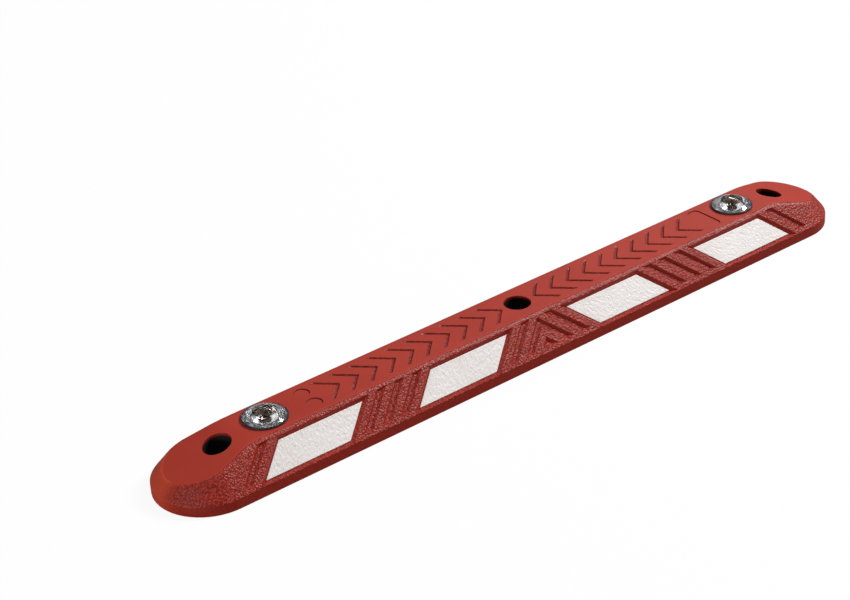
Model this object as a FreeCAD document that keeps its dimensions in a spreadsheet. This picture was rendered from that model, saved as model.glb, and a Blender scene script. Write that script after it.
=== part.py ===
"""Rubber lane divider: one moulded body with reflective sheets, glass road studs and bolt washers.

Millimetres. The origin is the middle of the underside, +X runs along the divider, -Y is the front side
and +Z is up. Both traffic sides and both ends are alike, so most features are drawn once, on the right
half of the front side, and mirrored.
"""
import FreeCAD, Part
import math
import os

import Sketcher

# Driving dimensions
SIZES = {
    # The moulded block: a wedge-sided bar with round noses and a ramp at each end
    "overall_length": 1000,
    "overall_width": 125,
    "overall_height": 50,
    "lip_height": 12,
    "lip_round": 3,
    "crown_width": 63,
    "crown_round": 8,
    "ramp_length": 100,
    "ramp_angle": 15,
    "ramp_round": 110,
    # Reflective sheets in drafted recesses, four on each side
    "sheet_length": 112,
    "sheet_width": 34,
    "sheet_thickness": 0.8,
    "sheet_foot": 5.7,
    "sheet_clearance": 0.4,
    "recess_depth": 4,
    # Where things lie along each side, from the middle outwards
    "centre_gap": 63,
    "sheet_gap": 96,
    "end_gap": 24.5,
    # Slanting grooves beside the sheets, with drafted walls
    "groove_floor": 3.3,
    "groove_depth": 3,
    "groove_foot": 9,
    "groove_length": 33,
    "groove_pitch": 25,
    "vee_arm_at": 11.2,
    "slant": 45,
    "wall_draft": 45,
    # Chevrons on the crown, pointing to the middle
    "chevron_first": 25.5,
    "chevron_pitch": 26.1,
    "chevron_reach": 20.5,
    "chevron_floor": 1.6,
    "chevron_depth": 1.4,
    # Blank moulding marks on the crown
    "mark_depth": 1.2,
    "mark_draft": 30,
    "disc_floor": 17.6,
    "disc_from_stud": 57.5,
    "disc_spacing": 25,
    "plate_length": 17.6,
    "plate_width": 45.6,
    "plate_from_stud": 49,
    "plate_round": 6,
    # Bolt holes, each with a steel washer on its seat
    "bolt_inset": 78,
    "bolt_hole": 14,
    "bolt_mouth": 33,
    "seat_height": 10,
    "washer_thickness": 3,
    "washer_clearance": 0.3,
    # Glass studs: lens, mirror coat and cup
    "left_stud_inset": 141,
    "right_stud_inset": 145,
    "glass_diameter": 50,
    "glass_dome": 9,
    "glass_belt": 6,
    "bowl_rim": 12.5,
    "bowl_depth": 6,
    "mirror_wall": 0.4,
    "cup_wall": 0.8,
    "cup_stand": 2.3,
    # Grip grooves across the underside
    "grip_width": 8,
    "grip_depth": 3,
    "grip_pitch": 30,
    "grip_margin": 12,
}

# Counts of the repeated features, on each half where they are mirrored
CHEVRONS = 10
GROOVES = 3
GRIPS = 13

# How far a cut runs past the surface that it opens
OVERSHOOT = 5

# Formulas that more than one feature or sub-part uses
RAMP_START = "(Sizes.overall_length / 2 - Sizes.ramp_length)"
LEFT_STUD_AT = "(Sizes.left_stud_inset - Sizes.overall_length / 2)"
RIGHT_STUD_AT = "(Sizes.overall_length / 2 - Sizes.right_stud_inset)"
BOLT_AT = "(Sizes.overall_length / 2 - Sizes.bolt_inset)"
INNER_SHEET_AT = "(Sizes.centre_gap + Sizes.sheet_length / 2)"
OUTER_SHEET_AT = "(Sizes.centre_gap + Sizes.sheet_gap + Sizes.sheet_length * 3 / 2)"
HALF_WIDTH = "Sizes.overall_width / 2"
HALF_CROWN = "Sizes.crown_width / 2"
NOSE_CENTRE = "(Sizes.overall_length - Sizes.overall_width) / 2"
SLOPE = "atan((Sizes.overall_height - Sizes.lip_height) / (Sizes.overall_width / 2 - Sizes.crown_width / 2))"
GLASS_RADIUS = "Sizes.glass_diameter / 2"
COAT_RADIUS = "(Sizes.glass_diameter / 2 + Sizes.mirror_wall)"
CUP_RADIUS = "(Sizes.glass_diameter / 2 + Sizes.mirror_wall + Sizes.cup_wall)"
SHOULDER = "(Sizes.cup_stand - Sizes.glass_belt)"
CUP_BOTTOM = f"({SHOULDER} - Sizes.bowl_depth - Sizes.mirror_wall - Sizes.cup_wall)"
BOWL_ROUND = "((Sizes.bowl_rim ^ 2 + Sizes.bowl_depth ^ 2) / (2 * Sizes.bowl_depth))"


def make_sizes(doc):
    """The spreadsheet that holds every driving dimension under its own alias."""
    sheet = doc.addObject("Spreadsheet::Sheet", "Sizes")
    for row, (alias, size) in enumerate(SIZES.items(), start=1):
        sheet.set(f"A{row}", alias)
        sheet.set(f"B{row}", str(size))
        sheet.setAlias(f"B{row}", alias)
    doc.recompute()
    return sheet


doc = FreeCAD.newDocument("LaneDivider")
sizes = make_sizes(doc)


def value(formula):
    """A formula's value as a plain number of millimetres or degrees."""
    result = sizes.evalExpression(formula)
    return float(getattr(result, "Value", result))


def origin_plane(body, role):
    return next(item for item in body.Origin.OriginFeatures if item.Role == role)


def sketch_on(body, name, role, offset=None):
    """A sketch on one of the body's own origin planes; offset holds formulas that move and turn it."""
    sketch = body.newObject("Sketcher::SketchObject", name)
    sketch.AttachmentSupport = [(origin_plane(body, role), "")]
    sketch.MapMode = "FlatFace"
    for path, formula in (offset or {}).items():
        sketch.setExpression("AttachmentOffset." + path, formula)
    doc.recompute()
    return sketch


def pin(sketch, edge, point, corner):
    """Fix one end of an edge at two formulas measured from the sketch's origin."""
    for kind, formula in zip(("DistanceX", "DistanceY"), corner):
        index = sketch.addConstraint(Sketcher.Constraint(kind, -1, 1, edge, point, value(formula)))
        sketch.setExpression(f"Constraints[{index}]", formula)


def limit(sketch, kind, edge, formula):
    """Give an edge a radius, diameter or other size from a formula."""
    index = sketch.addConstraint(Sketcher.Constraint(kind, edge, value(formula)))
    sketch.setExpression(f"Constraints[{index}]", formula)


def add_outline(sketch, corners, bends=None):
    """A closed outline through corners given as formulas.

    bends maps the number of an edge to its radius as a formula, positive where the edge bulges out of an
    outline that runs anticlockwise and negative where it bulges into it.
    """
    first = sketch.GeometryCount
    points = [FreeCAD.Vector(value(x), value(y), 0) for x, y in corners]
    for number, start in enumerate(points):
        end = points[(number + 1) % len(points)]
        radius = value(bends[number]) if bends and number in bends else 0
        sketch.addGeometry(arc_between(start, end, radius) if radius else Part.LineSegment(start, end), False)
    for number, corner in enumerate(corners):
        following = (number + 1) % len(corners)
        reverse = bool(bends) and number in bends and value(bends[number]) < 0
        next_reverse = bool(bends) and following in bends and value(bends[following]) < 0
        sketch.addConstraint(Sketcher.Constraint("Coincident", first + number, 1 if reverse else 2,
                                                 first + following, 2 if next_reverse else 1))
        pin(sketch, first + number, 2 if reverse else 1, corner)
        if bends and number in bends:
            limit(sketch, "Radius", first + number, "abs(" + bends[number] + ")")


def arc_between(start, end, radius):
    """The shorter arc of a radius from start to end, anticlockwise where the radius is positive."""
    chord = end - start
    rise = math.sqrt(radius ** 2 - chord.Length ** 2 / 4)
    across = FreeCAD.Vector(-chord.y, chord.x, 0).normalize()
    centre = (start + end) / 2 + across * math.copysign(rise, radius)
    middle = centre + ((start + end) / 2 - centre).normalize() * abs(radius) if rise > 1e-6 else \
        centre - across * radius
    return Part.Arc(start, middle, end)


def add_circle(sketch, x, y, diameter):
    centre = FreeCAD.Vector(value(x), value(y), 0)
    edge = sketch.addGeometry(Part.Circle(centre, FreeCAD.Vector(0, 0, 1), value(diameter) / 2), False)
    pin(sketch, edge, 3, (x, y))
    limit(sketch, "Diameter", edge, diameter)


def pad(body, name, sketch, length, midplane=False):
    feature = body.newObject("PartDesign::Pad", name)
    feature.Profile = sketch
    feature.Midplane = midplane
    feature.setExpression("Length", length)
    doc.recompute()
    return feature


def pocket(body, name, sketch, length=None, outward=False, midplane=False, draft=None):
    """Cut a sketch into the body, or out through it where outward is set; no length cuts right through."""
    feature = body.newObject("PartDesign::Pocket", name)
    feature.Profile = sketch
    feature.Midplane = midplane
    feature.Reversed = outward
    if length:
        feature.setExpression("Length", length)
    else:
        feature.Type = "ThroughAll"
    if draft:
        feature.setExpression("TaperAngle", draft)
    doc.recompute()
    return feature


def turned(body, name, sketch, angle=360):
    """Turn a sketch about its own upright axis."""
    feature = body.newObject("PartDesign::Revolution", name)
    feature.Profile = sketch
    feature.ReferenceAxis = (sketch, ["V_Axis"])
    feature.Angle = angle
    feature.Midplane = angle < 360
    doc.recompute()
    return feature


def mirror_step(body, role):
    step = body.newObject("PartDesign::Mirrored", "mirror")
    step.MirrorPlane = (origin_plane(body, role), [""])
    return step


def row_step(body, pitch, count):
    """A row of copies along X at a pitch given as a formula."""
    step = body.newObject("PartDesign::LinearPattern", "row")
    step.Direction = (next(item for item in body.Origin.OriginFeatures if item.Role == "X_Axis"), [""])
    step.Mode = "Spacing"
    step.Occurrences = count
    step.setExpression("Offset", pitch)
    return step


def repeat(body, name, originals, steps):
    """Repeat features by rows and mirrors in turn."""
    feature = body.newObject("PartDesign::MultiTransform", name)
    feature.Originals = originals
    feature.Transformations = steps
    body.Tip = feature
    doc.recompute()
    return feature


def face_tilts(shape, edge):
    """The angles between straight up and the outward normals of the faces that meet at an edge."""
    middle = edge.valueAt((edge.FirstParameter + edge.LastParameter) / 2)
    tilts = []
    for face in shape.ancestorsOfType(edge, Part.Face):
        u, v = face.Surface.parameter(middle)
        tilts.append(math.degrees(math.acos(max(-1, min(1, face.normalAt(u, v).z)))))
    return sorted(tilts)


def round_edges(body, name, base, wanted, radius):
    """Round the edges of base that the test picks by the tilts of their two faces."""
    names = [f"Edge{number}" for number, edge in enumerate(base.Shape.Edges, start=1)
             if wanted(face_tilts(base.Shape, edge))]
    feature = body.newObject("PartDesign::Fillet", name)
    feature.Base = (base, names)
    feature.setExpression("Radius", radius)
    doc.recompute()
    return feature


def add_block(body):
    """The plain block: a straight bar, half-round noses, the ramps, and rounded crown and lip edges."""
    section = sketch_on(body, "bar_section", "YZ_Plane")
    add_outline(section, [
        ("-" + HALF_WIDTH, "0"),
        (HALF_WIDTH, "0"),
        (HALF_WIDTH, "Sizes.lip_height"),
        (HALF_CROWN, "Sizes.overall_height"),
        ("-" + HALF_CROWN, "Sizes.overall_height"),
        ("-" + HALF_WIDTH, "Sizes.lip_height"),
    ])
    pad(body, "bar", section, "2 * " + NOSE_CENTRE, midplane=True)
    profile = sketch_on(body, "nose_profile", "XZ_Plane", {"Base.x": NOSE_CENTRE})
    add_outline(profile, [
        ("0", "0"),
        (HALF_WIDTH, "0"),
        (HALF_WIDTH, "Sizes.lip_height"),
        (HALF_CROWN, "Sizes.overall_height"),
        ("0", "Sizes.overall_height"),
    ])
    nose = turned(body, "nose", profile, angle=180)
    repeat(body, "noses", [nose], [mirror_step(body, "YZ_Plane")])

    past_nose = f"(Sizes.overall_length / 2 + {OVERSHOOT})"
    ramp_drop = f"({past_nose} - {RAMP_START}) * tan(Sizes.ramp_angle * 1deg)"
    wedge = sketch_on(body, "ramp_wedge", "XZ_Plane")
    add_outline(wedge, [
        (RAMP_START, "Sizes.overall_height"),
        (past_nose, "Sizes.overall_height - " + ramp_drop),
        (past_nose, "Sizes.overall_height"),
    ])
    ramp = pocket(body, "ramp", wedge, midplane=True)
    ramps = repeat(body, "ramps", [ramp], [mirror_step(body, "YZ_Plane")])

    flat = 1
    ramp_tilt = value("Sizes.ramp_angle") + flat
    bends = round_edges(body, "ramp_bends", ramps, lambda tilts: tilts[-1] < ramp_tilt, "Sizes.ramp_round")
    crown = round_edges(body, "crown_edges", bends,
                        lambda tilts: tilts[0] < ramp_tilt < tilts[-1] < 90 - flat, "Sizes.crown_round")
    round_edges(body, "lip_edges", crown,
                lambda tilts: ramp_tilt < tilts[0] < 90 - flat < tilts[-1] < 90 + flat, "Sizes.lip_round")


def slope_sketch(body, name, depth):
    """A sketch parallel to the front slope, at a depth under it, with Y up the slope from the lip's edge."""
    sketch = body.newObject("Sketcher::SketchObject", name)
    sketch.AttachmentSupport = [(origin_plane(body, "XY_Plane"), "")]
    sketch.MapMode = "FlatFace"
    sketch.AttachmentOffset = FreeCAD.Placement(FreeCAD.Vector(0, 0, 0),
                                                FreeCAD.Rotation(FreeCAD.Vector(1, 0, 0), value(SLOPE)))
    sketch.setExpression("AttachmentOffset.Rotation.Angle", SLOPE)
    sketch.setExpression("AttachmentOffset.Base.y", f"{depth} * sin({SLOPE}) - {HALF_WIDTH}")
    sketch.setExpression("AttachmentOffset.Base.z", f"Sizes.lip_height - {depth} * cos({SLOPE})")
    doc.recompute()
    return sketch


def slanted(centre, length, foot, height, margin="0"):
    """Corners of a parallelogram on the right half of the slope, whose ends lean in towards the middle.

    centre is where its middle lies along X, foot is how far up the slope it starts, and margin is the
    clearance that widens it on all four edges.
    """
    lean = "tan(Sizes.slant * 1deg)"
    half = f"(({length}) / 2 + {margin} / cos(Sizes.slant * 1deg))"
    rise = f"(({height}) / 2 + {margin})"
    low = f"({foot} - {margin})"
    high = f"({foot} + {height} + {margin})"
    return [
        (f"{centre} - {half} + {rise} * {lean}", low),
        (f"{centre} + {half} + {rise} * {lean}", low),
        (f"{centre} + {half} - {rise} * {lean}", high),
        (f"{centre} - {half} - {rise} * {lean}", high),
    ]


def cut_from_slope(body, name, outlines, depth):
    """Cut drafted pockets whose floors are the given outlines, at a depth under the front slope."""
    sketch = slope_sketch(body, name + "_floor", depth)
    for corners in outlines:
        add_outline(sketch, corners)
    return pocket(body, name, sketch, f"{depth} + {OVERSHOOT}", outward=True, draft="Sizes.wall_draft")


def four_ways(body):
    """Steps that carry a feature of the right front quarter to the other three quarters."""
    return [mirror_step(body, "YZ_Plane"), mirror_step(body, "XZ_Plane")]


def add_recesses(body):
    """A drafted recess for each reflective sheet, two on each quarter."""
    for name, centre in (("inner", INNER_SHEET_AT), ("outer", OUTER_SHEET_AT)):
        outline = slanted(centre, "Sizes.sheet_length", "Sizes.sheet_foot", "Sizes.sheet_width",
                          margin="Sizes.sheet_clearance")
        recess = cut_from_slope(body, name + "_recess", [outline], "Sizes.recess_depth")
        repeat(body, name + "_recesses", [recess], four_ways(body))


def add_grooves(body):
    """Slanting grooves: a few between two sheets, one past them, and the nested vees at mid length."""
    length = "Sizes.groove_floor / cos(Sizes.slant * 1deg)"
    lean = "tan(Sizes.slant * 1deg)"
    groove_middle = "(Sizes.groove_foot + Sizes.groove_length / 2)"
    sheet_middle = "(Sizes.sheet_foot + Sizes.sheet_width / 2)"
    shift = f"({sheet_middle} - {groove_middle}) * {lean}"
    between = f"(({INNER_SHEET_AT} + {OUTER_SHEET_AT}) / 2 + {shift})"
    places = [f"({between} + ({number} - ({GROOVES} - 1) / 2) * Sizes.groove_pitch)"
              for number in range(GROOVES)]
    places.append("(Sizes.vee_arm_at + Sizes.groove_pitch)")
    places.append(f"({OUTER_SHEET_AT} + Sizes.sheet_length / 2 + Sizes.end_gap + {shift})")
    outlines = [slanted(place, length, "Sizes.groove_foot", "Sizes.groove_length") for place in places]
    grooves = cut_from_slope(body, "groove", outlines, "Sizes.groove_depth")
    repeat(body, "grooves", [grooves], four_ways(body))

    half = f"(({length}) / 2)"
    outer = f"(Sizes.vee_arm_at + {half} + Sizes.groove_length / 2 * {lean})"
    inner = f"(Sizes.vee_arm_at - {half} + Sizes.groove_length / 2 * {lean})"
    vee = [
        ("-" + outer, "Sizes.groove_foot"),
        ("-" + inner, "Sizes.groove_foot"),
        ("0", f"Sizes.groove_foot + {inner} / {lean}"),
        (inner, "Sizes.groove_foot"),
        (outer, "Sizes.groove_foot"),
        ("0", f"Sizes.groove_foot + {outer} / {lean}"),
    ]
    corner = f"({outer} - Sizes.groove_pitch)"
    peak = [
        ("-" + corner, "Sizes.groove_foot"),
        (corner, "Sizes.groove_foot"),
        ("0", f"Sizes.groove_foot + {corner} / {lean}"),
    ]
    vees = cut_from_slope(body, "vee", [vee, peak], "Sizes.groove_depth")
    repeat(body, "vees", [vees], [mirror_step(body, "XZ_Plane")])


def add_chevrons(body):
    """A row of shallow drafted chevrons on each half of the crown, their points towards the middle."""
    side = "Sizes.chevron_floor / 2 / sin(45deg)"
    lead = f"(Sizes.chevron_first - {side})"
    trail = f"(Sizes.chevron_first + {side})"
    reach = "Sizes.chevron_reach"
    sketch = sketch_on(body, "chevron_floor", "XY_Plane",
                       {"Base.z": "Sizes.overall_height - Sizes.chevron_depth"})
    add_outline(sketch, [
        (f"{lead} + {reach}", "-" + reach),
        (f"{trail} + {reach}", "-" + reach),
        (trail, "0"),
        (f"{trail} + {reach}", reach),
        (f"{lead} + {reach}", reach),
        (lead, "0"),
    ])
    chevron = pocket(body, "chevron", sketch, f"Sizes.chevron_depth + {OVERSHOOT}", outward=True,
                     draft="Sizes.wall_draft")
    repeat(body, "chevrons", [chevron],
           [row_step(body, "Sizes.chevron_pitch", CHEVRONS), mirror_step(body, "YZ_Plane")])


def add_marks(body):
    """Two blank discs near the left stud and one blank plate near the right stud, all with drafted walls."""
    sketch = sketch_on(body, "mark_floors", "XY_Plane", {"Base.z": "Sizes.overall_height - Sizes.mark_depth"})
    for side in ("-", ""):
        add_circle(sketch, f"{LEFT_STUD_AT} + Sizes.disc_from_stud", f"{side}Sizes.disc_spacing / 2",
                   "Sizes.disc_floor")
    long = "Sizes.plate_length / 2"
    wide = "Sizes.plate_width / 2"
    bend = "Sizes.plate_round"
    at = f"({RIGHT_STUD_AT} - Sizes.plate_from_stud)"
    add_outline(sketch, [
        (f"{at} - {long} + {bend}", f"-{wide}"),
        (f"{at} + {long} - {bend}", f"-{wide}"),
        (f"{at} + {long}", f"-{wide} + {bend}"),
        (f"{at} + {long}", f"{wide} - {bend}"),
        (f"{at} + {long} - {bend}", wide),
        (f"{at} - {long} + {bend}", wide),
        (f"{at} - {long}", f"{wide} - {bend}"),
        (f"{at} - {long}", f"-{wide} + {bend}"),
    ], bends={1: bend, 3: bend, 5: bend, 7: bend})
    pocket(body, "marks", sketch, f"Sizes.mark_depth + {OVERSHOOT}", outward=True, draft="Sizes.mark_draft")


def add_bolt_holes(body):
    """Three stepped holes: a wide mouth down to the washer's seat and a bolt hole through the base."""
    mouth = sketch_on(body, "mouth_circles", "XY_Plane", {"Base.z": "Sizes.seat_height"})
    through = sketch_on(body, "bolt_circles", "XY_Plane")
    for x in ("-" + BOLT_AT, "0", BOLT_AT):
        add_circle(mouth, x, "0", "Sizes.bolt_mouth")
        add_circle(through, x, "0", "Sizes.bolt_hole")
    pocket(body, "bolt_mouths", mouth, outward=True)
    pocket(body, "bolt_holes", through, outward=True)


def add_stud_pockets(body):
    """A flat-bottomed blind pocket in the crown for each stud's cup."""
    sketch = sketch_on(body, "stud_pocket_circles", "XY_Plane",
                       {"Base.z": "Sizes.overall_height + " + CUP_BOTTOM})
    for x in (LEFT_STUD_AT, RIGHT_STUD_AT):
        add_circle(sketch, x, "0", "2 * " + CUP_RADIUS)
    pocket(body, "stud_pockets", sketch, outward=True)


def add_grips(body):
    """Shallow grooves across the underside, clear of the bolt holes and of the rim."""
    half_long = "Sizes.grip_width / 2"
    half_wide = "(Sizes.overall_width / 2 - Sizes.grip_margin)"
    sketch = sketch_on(body, "grip_outline", "XY_Plane")
    add_outline(sketch, [
        (f"Sizes.grip_pitch - {half_long}", "-" + half_wide),
        (f"Sizes.grip_pitch + {half_long}", "-" + half_wide),
        (f"Sizes.grip_pitch + {half_long}", half_wide),
        (f"Sizes.grip_pitch - {half_long}", half_wide),
    ])
    grip = pocket(body, "grip", sketch, "Sizes.grip_depth", outward=True)
    repeat(body, "grips", [grip], [row_step(body, "Sizes.grip_pitch", GRIPS), mirror_step(body, "YZ_Plane")])


def new_body(name):
    body = doc.addObject("PartDesign::Body", name)
    body.Label = name
    return body


def make_rubber_body():
    body = new_body("rubber_body")
    add_block(body)
    add_recesses(body)
    add_grooves(body)
    add_chevrons(body)
    add_marks(body)
    add_stud_pockets(body)
    add_bolt_holes(body)
    add_grips(body)
    return body


def make_sheet(name, centre, mirrored, behind):
    """A thin sheet on the floor of its recess; one behind is the front one turned about the upright axis."""
    body = new_body(name)
    sketch = slope_sketch(body, name + "_outline", "Sizes.recess_depth")
    corners = slanted(centre, "Sizes.sheet_length", "Sizes.sheet_foot", "Sizes.sheet_width")
    if mirrored:
        corners = [(f"-({x})", y) for x, y in reversed(corners)]
    add_outline(sketch, corners)
    pad(body, name + "_pad", sketch, "Sizes.sheet_thickness")
    if behind:
        body.Placement = FreeCAD.Placement(FreeCAD.Vector(0, 0, 0), FreeCAD.Rotation(180, 0, 0))
    return body


def make_sheets():
    """Four sheets on each side, numbered from the left as someone who faces that side sees them."""
    rows = [(OUTER_SHEET_AT, True), (INNER_SHEET_AT, True), (INNER_SHEET_AT, False), (OUTER_SHEET_AT, False)]
    bodies = []
    for side, behind in (("front", False), ("back", True)):
        for number, (centre, mirrored) in enumerate(rows, start=1):
            bodies.append(make_sheet(f"{side}_sheet_{number}", centre, mirrored, behind))
    return bodies


def place(body, x, z):
    """Set a body at formulas for its place along X and up Z."""
    body.setExpression("Placement.Base.x", x)
    body.setExpression("Placement.Base.z", z)
    doc.recompute()


def make_washer(name, x):
    """A steel washer lying on the seat at the bottom of a bolt hole's mouth."""
    body = new_body(name)
    sketch = sketch_on(body, name + "_ring", "XY_Plane")
    add_circle(sketch, "0", "0", "Sizes.bolt_mouth - 2 * Sizes.washer_clearance")
    add_circle(sketch, "0", "0", "Sizes.bolt_hole")
    pad(body, name + "_pad", sketch, "Sizes.washer_thickness")
    place(body, x, "Sizes.seat_height")
    return body


def bowl_points(growth):
    """The bottom and the rim of the glass's bowl, or of the same bowl grown outwards by a thickness."""
    bowl_round = f"({BOWL_ROUND} + {growth})"
    centre_rise = f"({BOWL_ROUND} - Sizes.bowl_depth)"
    rim = f"sqrt({bowl_round} ^ 2 - ({centre_rise} + {growth}) ^ 2)"
    return [
        ("0", f"{SHOULDER} - Sizes.bowl_depth - {growth}"),
        (rim, f"{SHOULDER} - {growth}"),
    ]


def make_stud(side, x):
    """One glass stud: a domed lens with a bowl below, the mirror coat round it, and the cup that holds both."""
    top = "Sizes.cup_stand"
    coat = "Sizes.mirror_wall"
    dome_round = f"(({GLASS_RADIUS}) ^ 2 + Sizes.glass_dome ^ 2) / (2 * Sizes.glass_dome)"
    coat_round = f"({BOWL_ROUND} + {coat})"
    glass_corners = bowl_points("0") + [
        (GLASS_RADIUS, SHOULDER),
        (GLASS_RADIUS, top),
        ("0", f"{top} + Sizes.glass_dome"),
    ]
    coat_corners = bowl_points(coat) + [
        (COAT_RADIUS, f"{SHOULDER} - {coat}"),
        (COAT_RADIUS, top),
        (GLASS_RADIUS, top),
        (GLASS_RADIUS, SHOULDER),
    ] + list(reversed(bowl_points("0")))
    cup_corners = [
        ("0", CUP_BOTTOM),
        (CUP_RADIUS, CUP_BOTTOM),
        (CUP_RADIUS, top),
        (COAT_RADIUS, top),
        (COAT_RADIUS, f"{SHOULDER} - {coat}"),
    ] + list(reversed(bowl_points(coat)))
    bodies = []
    for piece, corners, bends in (("glass", glass_corners, {0: BOWL_ROUND, 3: dome_round}),
                                  ("mirror", coat_corners, {0: coat_round, 6: "-" + BOWL_ROUND}),
                                  ("cup", cup_corners, {5: "-" + coat_round})):
        body = new_body(f"{side}_stud_{piece}")
        sketch = sketch_on(body, f"{side}_{piece}_profile", "XZ_Plane")
        add_outline(sketch, corners, bends=bends)
        turned(body, f"{side}_{piece}_turned", sketch)
        place(body, x, "Sizes.overall_height")
        bodies.append(body)
    return bodies


def make_all():
    bodies = [make_rubber_body()]
    bodies += make_sheets()
    for side, x in (("left", "-" + BOLT_AT), ("centre", "0"), ("right", BOLT_AT)):
        bodies.append(make_washer(f"{side}_washer", x))
    for side, x in (("left", LEFT_STUD_AT), ("right", RIGHT_STUD_AT)):
        bodies += make_stud(side, x)
    return bodies


def check(bodies):
    """Stop if any object failed to compute or any sub-part has no valid solid."""
    for item in doc.Objects:
        if "Invalid" in item.State or "Error" in item.State:
            raise RuntimeError(f"{item.Label} failed: {item.State}")
    for body in bodies:
        if body.Shape.isNull() or not body.Shape.isValid() or len(body.Shape.Solids) != 1:
            raise RuntimeError(f"{body.Label} is not one valid solid")


def write(bodies):
    os.makedirs("parts", exist_ok=True)
    for body in bodies:
        body.Shape.exportStep(os.path.join("parts", body.Label + ".step"))
        print(f"{body.Label}: {body.Shape.Volume:.0f} mm3, {len(body.Shape.Faces)} faces")


bodies = make_all()
doc.recompute()
check(bodies)
write(bodies)
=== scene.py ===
import math

import bmesh
import bpy
from mathutils import Matrix, Vector


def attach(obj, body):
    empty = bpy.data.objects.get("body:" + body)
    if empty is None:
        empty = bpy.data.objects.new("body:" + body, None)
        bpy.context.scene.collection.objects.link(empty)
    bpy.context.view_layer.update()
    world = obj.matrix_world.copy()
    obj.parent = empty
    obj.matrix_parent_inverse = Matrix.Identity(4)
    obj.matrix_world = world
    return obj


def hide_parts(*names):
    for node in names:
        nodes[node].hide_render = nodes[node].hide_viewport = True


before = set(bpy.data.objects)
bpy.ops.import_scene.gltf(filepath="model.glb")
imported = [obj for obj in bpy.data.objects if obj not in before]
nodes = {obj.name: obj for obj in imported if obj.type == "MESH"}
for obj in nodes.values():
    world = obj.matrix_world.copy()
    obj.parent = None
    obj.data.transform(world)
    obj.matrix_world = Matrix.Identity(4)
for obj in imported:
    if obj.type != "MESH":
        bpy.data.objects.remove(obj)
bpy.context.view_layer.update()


# Rubber body: one long wedge-sided block of bonded red rubber, pressed in a heated mould.
# The mould is grained on the slopes, the lip and the chevrons and plain on the crown and the ramps. At the far
# left the rubber is rubbed smooth, and there it is painted a lighter, more orange red as painted light from
# the left.
class Wire:
    """A socket of a node tree that takes part in Python arithmetic."""

    def __init__(self, tree, socket=None):
        self.tree = tree
        self.socket = socket

    def node(self, kind, settings=None, inputs=None, output=0):
        """Add a node, set its settings and then its sockets, and give the wire of one of its outputs."""
        made = self.tree.nodes.new(kind)
        for name, setting in (settings or {}).items():
            setattr(made, name, setting)
        for key, value in (inputs or {}).items():
            if isinstance(value, Wire):
                self.tree.links.new(value.socket, made.inputs[key])
            else:
                made.inputs[key].default_value = value
        return Wire(self.tree, made.outputs[output])

    def sibling(self, output):
        """Another output of the same node."""
        return Wire(self.tree, self.socket.node.outputs[output])

    def sums(self, operation, *values):
        """A Math node on some wires and numbers."""
        return self.node("ShaderNodeMath", {"operation": operation}, dict(enumerate(values)))

    def __add__(self, other):
        return self.sums("ADD", self, other)

    __radd__ = __add__

    def __sub__(self, other):
        return self.sums("SUBTRACT", self, other)

    def __rsub__(self, other):
        return self.sums("SUBTRACT", other, self)

    def __mul__(self, other):
        return self.sums("MULTIPLY", self, other)

    __rmul__ = __mul__

    def __truediv__(self, other):
        return self.sums("DIVIDE", self, other)

    def __abs__(self):
        return self.sums("ABSOLUTE", self)

    def between(self, low, high):
        """0 below low, 1 above high and a smooth rise between, or a fall where low is the greater."""
        rising = low < high
        return self.node("ShaderNodeMapRange", {"interpolation_type": "SMOOTHSTEP"}, {
            "Value": self,
            "From Min": min(low, high),
            "From Max": max(low, high),
            "To Min": 0.0 if rising else 1.0,
            "To Max": 1.0 if rising else 0.0,
        })

    def blend(self, first, second):
        """A colour that goes from first to second as this wire goes from 0 to 1."""
        return self.node("ShaderNodeMix", {"data_type": "RGBA"}, {0: self, 6: first, 7: second}, output=2)


def new_finish(name, **constants):
    """A material with a Principled shader, whose unchanging values are set on the shader's own sockets."""
    material = bpy.data.materials.new(name)
    material.use_nodes = True
    shader = material.node_tree.nodes["Principled BSDF"]
    for socket, value in constants.items():
        shader.inputs[socket.replace("_", " ")].default_value = value
    return material, Wire(material.node_tree), shader


def feed(shader, **wires):
    """Link each wire to the shader's socket of that name."""
    for socket, wire in wires.items():
        wire.tree.links.new(wire.socket, shader.inputs[socket.replace("_", " ")])


def bumped(height):
    """The normal of a surface that is raised by a height in metres."""
    return height.node("ShaderNodeBump", inputs={"Strength": 1.0, "Distance": 1.0, "Height": height})


def dress(thing, material):
    """Put one material in every slot of a piece."""
    if not thing.data.materials:
        thing.data.materials.append(material)
    for slot in thing.material_slots:
        slot.material = material


CROWN = 0.050
RAMP_START = 0.400
RAMP_FALL = math.tan(math.radians(15))
BOLT_AT = 0.422
MOUTH_RADIUS = 0.0165
CHEVRONS_FROM = 0.023
CHEVRONS_TO = 0.285
MARKS_FROM = 0.286
MARKS_TO = 0.344
FEATHER = 0.001
CREST_HALF_WIDTH = 0.0285
GRAIN_DEPTH = 0.0008
SKIN_DEPTH = 0.00005

rubber, tree, shader = new_finish("red_rubber", IOR=1.5, Specular_IOR_Level=0.3)
place = tree.node("ShaderNodeTexCoord", output="Object")
split_place = tree.node("ShaderNodeSeparateXYZ", inputs={0: place})
facing_up = tree.node("ShaderNodeSeparateXYZ", inputs={0: place.sibling("Normal")}).sibling("Z")
along, across, height = (split_place.sibling(axis) for axis in "XYZ")

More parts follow.
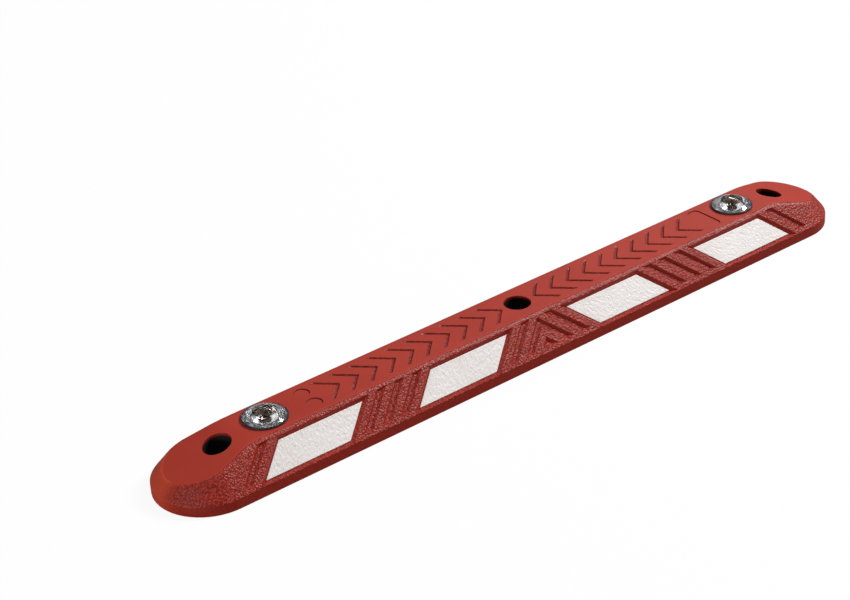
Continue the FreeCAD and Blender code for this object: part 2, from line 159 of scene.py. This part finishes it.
# Where the mould was plain: the crown and ramps, whose height is reckoned from their own plane
out = abs(along)
below_top = height - CROWN + tree.sums("MAXIMUM", out - RAMP_START, 0.0) * RAMP_FALL
plain = facing_up.between(0.90, 0.955) * below_top.between(-0.0035, -0.0025)
chevron_row = (out.between(CHEVRONS_FROM - FEATHER, CHEVRONS_FROM + FEATHER)
               * out.between(CHEVRONS_TO + FEATHER, CHEVRONS_TO - FEATHER))
chevron_floor = plain * chevron_row * below_top.between(-0.0009, -0.0012)
in_crown = (abs(across).between(CREST_HALF_WIDTH, CREST_HALF_WIDTH - 0.0005)
            * below_top.between(-0.003, -0.002))
mark_wall = ((1 - plain) * in_crown * out.between(MARKS_FROM - FEATHER, MARKS_FROM + FEATHER)
             * out.between(MARKS_TO + FEATHER, MARKS_TO - FEATHER))
# The far-left end: its grain is rubbed smooth, and painted light makes it lighter further down
rubbed_and_lit_end = along.between(-0.440, -0.476) * across.between(-0.032, 0.004)
grained = (1 - plain) * (1 - mark_wall) * (1 - rubbed_and_lit_end) + chevron_floor
steep = abs(facing_up).between(0.35, 0.15)

cells = tree.node("ShaderNodeTexVoronoi", {"feature": "SMOOTH_F1"},
                  {"Vector": place, "Scale": 400.0, "Smoothness": 0.35, "Randomness": 1.0})
crumbs = tree.node("ShaderNodeTexNoise", inputs={"Vector": place, "Scale": 560.0, "Detail": 1.0})
skin = tree.node("ShaderNodeTexNoise", inputs={"Vector": place, "Scale": 1500.0, "Detail": 2.0})
patches = tree.node("ShaderNodeTexNoise", inputs={"Vector": place, "Scale": 14.0, "Detail": 3.0})
pebble = (1 - cells) * 0.6 + crumbs * 0.9
bump = bumped(pebble * grained * (1 - steep * 0.6) * GRAIN_DEPTH + skin * SKIN_DEPTH)

# Colour: plain red, with painted shade in the dips and painted highlights on the peaks where the mould was
# grained, and painted shade in the chevrons, on the walls of the marks and down the holes
tone = patches.between(0.30, 0.70).blend((0.365, 0.029, 0.015, 1), (0.395, 0.034, 0.018, 1))
tone = steep.blend(tone, (0.370, 0.024, 0.010, 1))
# Painted light: the rubbed far-left end is painted a lighter, more orange red, as if lit from the left
tone = (rubbed_and_lit_end * (1 - plain)).blend(tone, (0.560, 0.062, 0.028, 1))
# Painted shade: the dips of the grain are painted dark red
hollow_shade = pebble.between(0.86, 0.66) * grained * (1 - steep * 0.6)
tone = (hollow_shade * 0.8).blend(tone, (0.180, 0.009, 0.006, 1))
# Painted shade: the chevron grooves are painted darker
chevron_shade = chevron_row * in_crown * below_top.between(-0.0001, -0.0008)
tone = (chevron_shade * 0.5).blend(tone, (0.110, 0.006, 0.005, 1))
# Painted highlight: the peaks of the grain are painted a paler red
tip_highlight = pebble.between(0.96, 1.16) * grained * (1 - steep * 0.9)
tone = (tip_highlight * 0.55).blend(tone, (0.500, 0.080, 0.070, 1))
from_hole = tree.sums("MINIMUM", out, abs(out - BOLT_AT))
reach = tree.sums("SQRT", from_hole * from_hole + across * across)
# Painted shade: the inside of each bolt hole is painted near black below its mouth, and made rougher there
hole_shade = reach.between(MOUTH_RADIUS + 0.0008, MOUTH_RADIUS + 0.0004) * below_top.between(-0.0005, -0.005)
# Painted shade: the walls of the marks are painted dark red
tone = (mark_wall * 0.8).blend(tone, (0.120, 0.008, 0.006, 1))
tone = hole_shade.blend(tone, (0.002, 0.001, 0.001, 1))
rough = 0.52 - grained * 0.15 + patches * 0.06 + hole_shade * 0.4
feed(shader, Base_Color=tone, Roughness=rough, Normal=bump)
dress(nodes["rubber_body"], rubber)


# Reflective sheets: white glass-bead sheeting with an embossed, leathery face, cut to a slanted shape.
# Each is glued to the floor of its recess, four along each side.
SHEET_LENGTH = 0.112
SHEET_WIDTH = 0.034
SHEET_THICKNESS = 0.0008
SHEET_FOOT = 0.0057
RECESS_DEPTH = 0.004
SHEET_CENTRES = (-0.327, -0.119, 0.119, 0.327)
LIP_HEIGHT = 0.012
HALF_WIDTH = 0.0625
SLOPE_TOP = 0.0315
SLOPE = math.atan2(CROWN - LIP_HEIGHT, HALF_WIDTH - SLOPE_TOP)
EMBOSS_DEPTH = 0.0007
SHEET_COLUMNS = 141
SHEET_ROWS = 44

sheeting, tree, shader = new_finish("reflective_sheet", IOR=1.5, Roughness=0.42)
place = tree.node("ShaderNodeTexCoord", output="Object")
grain = tree.node("ShaderNodeTexNoise", inputs={"Vector": place, "Scale": 1400.0, "Detail": 2.0})
wash = tree.node("ShaderNodeTexNoise", inputs={"Vector": place, "Scale": 30.0, "Detail": 3.0})
drawn = tree.node("ShaderNodeVectorMath", {"operation": "MULTIPLY"}, {0: place, 1: (1.25, 0.7, 0.7)})
crease = tree.node("ShaderNodeTexNoise", inputs={
    "Vector": drawn, "Scale": 300.0, "Detail": 2.0, "Distortion": 0.6})
tone = wash.between(0.3, 0.7).blend((0.83, 0.78, 0.755, 1), (0.86, 0.815, 0.79, 1))
# Painted shade: the creases of the emboss are painted darker and warmer
tone = (crease.between(0.46, 0.30) * 0.35).blend(tone, (0.70, 0.63, 0.59, 1))
feed(shader, Base_Color=tone, Normal=bumped(crease * EMBOSS_DEPTH + grain * 0.00005))


def named_input(tree, name, kind, value=None):
    """Add a named input to a tree and give its socket's identifier."""
    socket = tree.interface.new_socket(name, in_out="INPUT", socket_type=kind)
    if value is not None:
        socket.default_value = value
    return socket.identifier


embossing = bpy.data.node_groups.new("embossed_sheet", "GeometryNodeTree")
embossing.is_modifier = True
sizes = {name: named_input(embossing, name, kind, value) for name, kind, value in (
    ("Length", "NodeSocketFloat", SHEET_LENGTH),
    ("Width", "NodeSocketFloat", SHEET_WIDTH),
    ("Thickness", "NodeSocketFloat", SHEET_THICKNESS),
    ("Lean", "NodeSocketFloat", 1.0),
    ("Relief", "NodeSocketFloat", EMBOSS_DEPTH),
    ("Wrinkle", "NodeSocketFloat", 280.0),
    ("Seed", "NodeSocketFloat", 0.0),
    ("Finish", "NodeSocketMaterial", None),
)}
embossing.interface.new_socket("Geometry", in_out="OUTPUT", socket_type="NodeSocketGeometry")
tree = Wire(embossing)
given = tree.node("NodeGroupInput")
outline = tree.node("ShaderNodeCombineXYZ", inputs={
    "X": given.sibling("Length"), "Y": given.sibling("Width"), "Z": given.sibling("Thickness")})
slab = tree.node("GeometryNodeMeshCube", inputs={
    "Vertices X": SHEET_COLUMNS, "Vertices Y": SHEET_ROWS, "Vertices Z": 2, "Size": outline})
spot = tree.node("ShaderNodeSeparateXYZ", inputs={0: tree.node("GeometryNodeInputPosition")})
spot_y, spot_z = spot.sibling("Y"), spot.sibling("Z")
wrinkles = tree.node("ShaderNodeTexNoise", {"noise_dimensions": "4D"}, {
    "Vector": tree.node("GeometryNodeInputPosition"), "W": given.sibling("Seed"),
    "Scale": given.sibling("Wrinkle"), "Detail": 2.0, "Distortion": 0.6})
on_top = spot_z.between(-0.0001, 0.0001)
inside = (abs(spot_y) / given.sibling("Width")).between(0.5, 0.48)
shift = tree.node("ShaderNodeCombineXYZ", inputs={
    "X": spot_y * given.sibling("Lean") * -1,
    "Z": on_top * inside * (wrinkles - 0.5) * given.sibling("Relief")})
moved = tree.node("GeometryNodeSetPosition", inputs={"Geometry": slab, "Offset": shift})
smooth = tree.node("GeometryNodeSetShadeSmooth", inputs={"Geometry": moved})
real = tree.node("GeometryNodeRealizeInstances", inputs={"Geometry": smooth})
done = tree.node("GeometryNodeSetMaterial", inputs={"Geometry": real, "Material": given.sibling("Finish")})
embossing.links.new(done.socket, embossing.nodes.new("NodeGroupOutput").inputs["Geometry"])


def grown(name, group, settings):
    """The mesh that a geometry tree makes with the given inputs, as a plain object."""
    carrier = bpy.data.objects.new(name + "_carrier", bpy.data.meshes.new(name + "_carrier"))
    bpy.context.scene.collection.objects.link(carrier)
    modifier = carrier.modifiers.new("tree", "NODES")
    modifier.node_group = group
    for identifier, value in settings.items():
        modifier[identifier] = value
    graph = bpy.context.evaluated_depsgraph_get()
    mesh = bpy.data.meshes.new_from_object(carrier.evaluated_get(graph))
    mesh.name = name
    carrier.modifiers.remove(modifier)
    bpy.data.objects.remove(carrier)
    piece = bpy.data.objects.new(name, mesh)
    bpy.context.scene.collection.objects.link(piece)
    return piece


up_slope = Vector((0, math.cos(SLOPE), math.sin(SLOPE)))
out_of_slope = Vector((0, -math.sin(SLOPE), math.cos(SLOPE)))
middle = (Vector((0, -HALF_WIDTH, LIP_HEIGHT)) + up_slope * (SHEET_FOOT + SHEET_WIDTH / 2)
          + out_of_slope * (SHEET_THICKNESS / 2 - RECESS_DEPTH))
for side, turn in (("front", 0), ("back", math.pi)):
    for number, centre in enumerate(SHEET_CENTRES, start=1):
        name = f"{side}_sheet_{number}"
        sheet = grown(name + "_embossed", embossing, {
            sizes["Lean"]: math.copysign(1, centre),
            sizes["Seed"]: number + 4.0 * (side == "back"),
            sizes["Finish"]: sheeting,
        })
        lie = Matrix.Translation(middle + Vector((centre, 0, 0))) @ Matrix.Rotation(SLOPE, 4, "X")
        sheet.data.transform(Matrix.Rotation(turn, 4, "Z") @ lie)
        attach(sheet, "root")
        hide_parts(name)


# Washers: punched zinc-plated steel rings, one for each bolt.
# They lie loose on the seats at the bottom of the three bolt holes.
zinc, tree, shader = new_finish("washer_steel", Metallic=1.0)
place = tree.node("ShaderNodeTexCoord", output="Object")
spangle = tree.node("ShaderNodeTexNoise", inputs={"Vector": place, "Scale": 260.0, "Detail": 4.0})
tone = spangle.between(0.3, 0.7).blend((0.36, 0.36, 0.38, 1), (0.55, 0.55, 0.56, 1))
feed(shader, Base_Color=tone, Roughness=0.35 + spangle * 0.25, Normal=bumped(spangle * 0.00008))
for name in ("left_washer", "centre_washer", "right_washer"):
    dress(nodes[name], zinc)


# Stud cups: black moulded sockets, one for each glass stud.
# They are pressed into the pockets of the crown, and their rims stand just proud of it.
socket_black, tree, shader = new_finish("stud_cup", IOR=1.5)
place = tree.node("ShaderNodeTexCoord", output="Object")
mould = tree.node("ShaderNodeTexNoise", inputs={"Vector": place, "Scale": 500.0, "Detail": 3.0})
tone = mould.between(0.3, 0.7).blend((0.012, 0.012, 0.013, 1), (0.030, 0.029, 0.030, 1))
feed(shader, Base_Color=tone, Roughness=0.40 + mould * 0.2, Normal=bumped(mould * 0.00006))
for name in ("left_stud_cup", "right_stud_cup"):
    dress(nodes[name], socket_black)


# Mirror coats: bright metal fired on the glass from below and round its belt, which is painted near black as
# painted shade.
# The firing leaves it wrinkled and streaky outside the bowl, where a white ring is a painted highlight, and
# the bowl's middle is painted dark brown as a painted reflection.
STUDS = (("left", -0.359), ("right", 0.355))
GLASS_RADIUS = 0.025
GLASS_TOP = 0.0023
SHOULDER = GLASS_TOP - 0.006
DOME = 0.009
BOWL_RIM = 0.0125
BOWL_DEPTH = 0.006
COAT = 0.0004
RING_RADIUS = 0.0173
DARK_SPOT_RADIUS = 0.0070
DARK_SPOT_CORE = 0.0046
BOWL_STEPS = 16


def from_stud(place):
    """How far a point lies from the axis of the nearer stud, along the divider and across it."""
    spot = place.node("ShaderNodeSeparateXYZ", inputs={0: place})
    along = spot.sibling("X")
    aside = along + along.between(0.001, -0.001) * (STUDS[1][1] - STUDS[0][1]) - STUDS[1][1]
    return aside, spot.sibling("Y")


silver, tree, shader = new_finish("stud_mirror", Metallic=1.0)
place = tree.node("ShaderNodeTexCoord", output="Object")
aside, across = from_stud(place)
reach = tree.sums("SQRT", aside * aside + across * across)
bearing = tree.sums("ARCTAN2", across, aside)
streaks = tree.node("ShaderNodeTexNoise", {"noise_dimensions": "2D"}, {
    "Vector": tree.node("ShaderNodeCombineXYZ", inputs={"X": bearing * 3.0, "Y": reach * 260.0}),
    "Scale": 1.6, "Detail": 3.0})
blots = tree.node("ShaderNodeTexNoise", inputs={"Vector": place, "Scale": 210.0, "Detail": 3.0})
tone = streaks.between(0.36, 0.62).blend((0.58, 0.63, 0.70, 1), (0.97, 0.98, 1.0, 1))
tone = (blots.between(0.62, 0.68) * 0.8).blend(tone, (0.80, 0.62, 0.36, 1))
# Painted highlight: a ring of the coat round the bowl is painted white in blots
bright = reach.between(RING_RADIUS + 0.0005, RING_RADIUS - 0.0005) * blots.between(0.42, 0.50)
tone = bright.blend(tone, (1.0, 1.0, 1.0, 1))
# Painted reflection: the middle of the bowl is painted dark brown
dark_spot_reflection = blots.between(0.42, 0.66).blend((0.008, 0.006, 0.005, 1), (0.100, 0.072, 0.055, 1))
tone = reach.between(DARK_SPOT_RADIUS, DARK_SPOT_CORE).blend(tone, dark_spot_reflection)
# Painted shade: the coat's belt and outer edge are painted near black, so a dark ring shows round the glass
belt = reach.between(GLASS_RADIUS - 0.0010, GLASS_RADIUS - 0.0004)
tone = belt.blend(tone, (0.015, 0.014, 0.014, 1))
in_bowl = reach.between(BOWL_RIM + 0.0005, BOWL_RIM - 0.0003)
wrinkles = (streaks * 0.0016 + blots * 0.0020) * (1 - in_bowl * 0.8)
feed(shader, Base_Color=tone, Roughness=0.38 - in_bowl * 0.30, Normal=bumped(wrinkles))


def turned(name, profile, centre, material, segments=96):
    """A solid turned about an upright axis, from points (radius, height) that go round it anticlockwise."""
    made = bmesh.new()
    rings = []
    for radius, rise in profile:
        count = segments if radius > 1e-7 else 1
        rings.append([made.verts.new((centre[0] + radius * math.cos(math.tau * step / count),
                                      centre[1] + radius * math.sin(math.tau * step / count),
                                      centre[2] + rise)) for step in range(count)])
    for lower, upper in zip(rings, rings[1:] + rings[:1]):
        if len(lower) == len(upper) == 1:
            continue
        for step in range(segments):
            after = (step + 1) % segments
            corners = ([lower[step], lower[after]] if len(lower) > 1 else [lower[0]]) + \
                      ([upper[after], upper[step]] if len(upper) > 1 else [upper[0]])
            made.faces.new(corners).smooth = True
    mesh = bpy.data.meshes.new(name)
    made.to_mesh(mesh)
    made.free()
    mesh.materials.append(material)
    piece = bpy.data.objects.new(name, mesh)
    bpy.context.scene.collection.objects.link(piece)
    return piece


def cap(rim, depth, steps, growth=0.0):
    """Points of a round bowl from its bottom to its rim, at depths below the shoulder."""
    radius = (rim ** 2 + depth ** 2) / (2 * depth)
    reach = math.asin(rim / radius)
    return [((radius + growth) * math.sin(reach * step / steps),
             radius - depth - (radius + growth) * math.cos(reach * step / steps)) for step in range(steps + 1)]


for side, x in STUDS:
    inside = [(r, SHOULDER + z) for r, z in cap(BOWL_RIM, BOWL_DEPTH, BOWL_STEPS)]
    outside = [(r, SHOULDER + z) for r, z in cap(BOWL_RIM, BOWL_DEPTH, BOWL_STEPS, COAT)]
    wall = [(GLASS_RADIUS + COAT, SHOULDER - COAT), (GLASS_RADIUS + COAT, GLASS_TOP),
            (GLASS_RADIUS, GLASS_TOP), (GLASS_RADIUS, SHOULDER)]
    profile = outside + wall + inside[::-1]
    coat = turned(f"{side}_stud_coat", profile, (x, 0, CROWN), silver)
    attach(coat, "root")
    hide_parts(f"{side}_stud_mirror")


# Stud lenses: solid pressed glass with a low dome above and a bowl below, held in the cups by a tight fit.
# The top of the dome is tinted dark brown as a painted reflection, and the glass bites a hair into its mirror,
# with no air between.
BITE = 0.00002
BROWN_RADIUS = 0.0140
DOME_STEPS = 24

clear, tree, shader = new_finish("stud_glass", IOR=1.5, Transmission_Weight=1.0)
place = tree.node("ShaderNodeTexCoord", output="Object")
aside, across = from_stud(place)
reach = tree.sums("SQRT", aside * aside + across * across)
ripple = tree.node("ShaderNodeTexNoise", inputs={"Vector": place, "Scale": 160.0, "Detail": 2.0})
brown = ripple.between(0.36, 0.66).blend((0.005, 0.004, 0.003, 1), (0.125, 0.090, 0.068, 1))
# Painted reflection: the top of the dome is tinted dark brown
dark_top_reflection = reach.between(BROWN_RADIUS + 0.0006, BROWN_RADIUS - 0.0006)
tone = dark_top_reflection.blend((0.98, 0.99, 1.0, 1), brown)
feed(shader, Base_Color=tone, Roughness=0.01 + ripple * 0.02, Normal=bumped(ripple * 0.0001))
for side, x in STUDS:
    bowl = [(r, SHOULDER - BITE + z) for r, z in cap(BOWL_RIM, BOWL_DEPTH, BOWL_STEPS)]
    dome = [(r, GLASS_TOP - z) for r, z in cap(GLASS_RADIUS + BITE, DOME, DOME_STEPS)]
    profile = bowl + [(GLASS_RADIUS + BITE, SHOULDER - BITE)] + dome[::-1]
    lens = turned(f"{side}_stud_lens", profile, (x, 0, CROWN), clear)
    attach(lens, "root")
    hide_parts(f"{side}_stud_glass")


# Stage: a plain white floor that keeps the shadow, and a white backdrop.
# Soft lamps stand round and above it, and the camera stands where the photograph's did.
FLOOR_REACH = 6
DIM = 0.09

floor_mesh = bpy.data.meshes.new("floor")
floor_mesh.from_pydata([(-FLOOR_REACH, -FLOOR_REACH, 0), (FLOOR_REACH, -FLOOR_REACH, 0),
                        (FLOOR_REACH, FLOOR_REACH, 0), (-FLOOR_REACH, FLOOR_REACH, 0)], [], [(0, 1, 2, 3)])
floor = bpy.data.objects.new("floor", floor_mesh)
bpy.context.scene.collection.objects.link(floor)
ground = bpy.data.materials.new("floor")
ground.use_nodes = True
tree = Wire(ground.node_tree)
ground.node_tree.nodes.remove(ground.node_tree.nodes["Principled BSDF"])
ray = tree.node("ShaderNodeLightPath", output="Is Camera Ray")
seen = tree.sums("MAXIMUM", ray, ray.sibling("Is Transmission Ray"))
pale = seen.blend((0.20, 0.20, 0.20, 1), (0.9, 0.9, 0.9, 1))
lit = tree.node("ShaderNodeBsdfDiffuse", inputs={"Color": pale})
glow = tree.node("ShaderNodeEmission", inputs={"Color": (1, 1, 1, 1), "Strength": 1.0})
shown = tree.node("ShaderNodeMixShader", inputs={0: seen * 0.92, 1: lit, 2: glow})
ground.node_tree.links.new(shown.socket, ground.node_tree.nodes["Material Output"].inputs["Surface"])
floor_mesh.materials.append(ground)

world = bpy.data.worlds.new("studio")
world.use_nodes = True
bpy.context.scene.world = world
tree = Wire(world.node_tree)
backdrop = world.node_tree.nodes["Background"]
ray = tree.node("ShaderNodeLightPath", output="Is Camera Ray")
strength = DIM + tree.sums("MAXIMUM", ray, ray.sibling("Is Transmission Ray")) * (1 - DIM)
world.node_tree.links.new(strength.socket, backdrop.inputs["Strength"])
backdrop.inputs["Color"].default_value = (1, 1, 1, 1)


def softbox(name, place, width, depth, power, roll=0.0):
    """A soft rectangular lamp at a place, turned towards the divider and rolled by some degrees."""
    lamp = bpy.data.lights.new(name, "AREA")
    lamp.shape = "RECTANGLE"
    lamp.size = width
    lamp.size_y = depth
    lamp.energy = power
    holder = bpy.data.objects.new(name, lamp)
    holder.location = place
    aim = (-Vector(place)).to_track_quat("-Z", "Y").to_matrix()
    holder.rotation_euler = (aim @ Matrix.Rotation(math.radians(roll), 3, "Z")).to_euler()
    bpy.context.scene.collection.objects.link(holder)


softbox("key_lamp", (4.2, -1.2, 4.14), 1.8, 1.8, 400)
softbox("fill_lamp", (-3.4, -2.0, 0.3), 2.4, 0.5, 22)
softbox("left_lamp", (-4.1, -0.5, 0.25), 2.4, 0.4, 40)
softbox("back_lamp", (4.9, 4.3, 3.9), 0.55, 1.9, 40, roll=36)
softbox("ceiling_lamp", (-0.3, 1.75, 6.1), 1.0, 1.0, 48)
softbox("glint_lamp", (-3.3, -0.6, 2.7), 0.35, 0.35, 17)


# The camera's place and turn, fitted to the photograph, with its focal length and width in pixels
AZIMUTH = math.radians(-36.366)
ELEVATION = math.radians(29.805)
ROLL = math.radians(-3.618)
DISTANCE = 2.44511
AIM_RIGHT = -0.110965
AIM_UP = 0.046485
SENSOR_WIDTH = 36
FOCAL_LENGTH = 2061.85
PICTURE_WIDTH = 850

back = Vector((math.sin(AZIMUTH) * math.cos(ELEVATION), -math.cos(AZIMUTH) * math.cos(ELEVATION),
               math.sin(ELEVATION)))
level = Vector((math.cos(AZIMUTH), math.sin(AZIMUTH), 0))
upright = back.cross(level)
right = math.cos(ROLL) * level + math.sin(ROLL) * upright
up = math.cos(ROLL) * upright - math.sin(ROLL) * level
stand = AIM_RIGHT * right + AIM_UP * up + DISTANCE * back
camera = bpy.data.objects.new("camera", bpy.data.cameras.new("camera"))
camera.data.sensor_width = SENSOR_WIDTH
camera.data.lens = SENSOR_WIDTH * FOCAL_LENGTH / PICTURE_WIDTH
camera.data.clip_start = 0.05
camera.data.clip_end = 50
camera.matrix_world = Matrix((
    (right.x, up.x, back.x, stand.x),
    (right.y, up.y, back.y, stand.y),
    (right.z, up.z, back.z, stand.z),
    (0, 0, 0, 1),
))
bpy.context.scene.collection.objects.link(camera)
bpy.context.scene.camera = camera
bpy.context.scene.view_settings.view_transform = "Standard"
